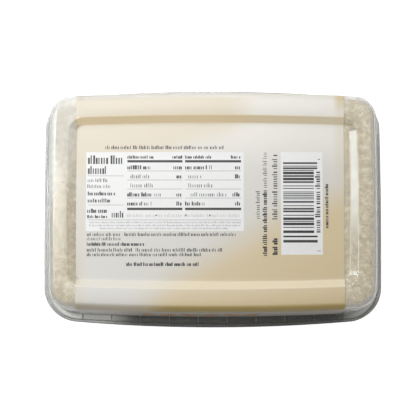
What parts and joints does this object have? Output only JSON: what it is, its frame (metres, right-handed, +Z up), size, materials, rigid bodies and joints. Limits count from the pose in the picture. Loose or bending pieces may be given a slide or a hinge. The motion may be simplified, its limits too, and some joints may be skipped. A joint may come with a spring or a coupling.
{
  "type": "tub of sesame halva",
  "caption": "Shut clear rectangular tub of sesame halva, lying base up on its press-on lid, with a printed film round its base and long walls.",
  "frame": {"origin": "under the middle of the tub, on the surface that the lid's outer face lies on", "axes": "+X along the long sides, +Y across them towards the far wall, +Z up, from the lid to the tub's base"},
  "size_m": [0.1634, 0.115, 0.0486],
  "materials": {
    "clear_polypropylene": "gloss",
    "label_film": "satin",
    "sesame_halva": "matte"
  },
  "bodies": {
    "root": {"tub": "clear_polypropylene", "lid": "clear_polypropylene", "label": "label_film", "halva": "sesame_halva"}
  },
  "joints": []
}
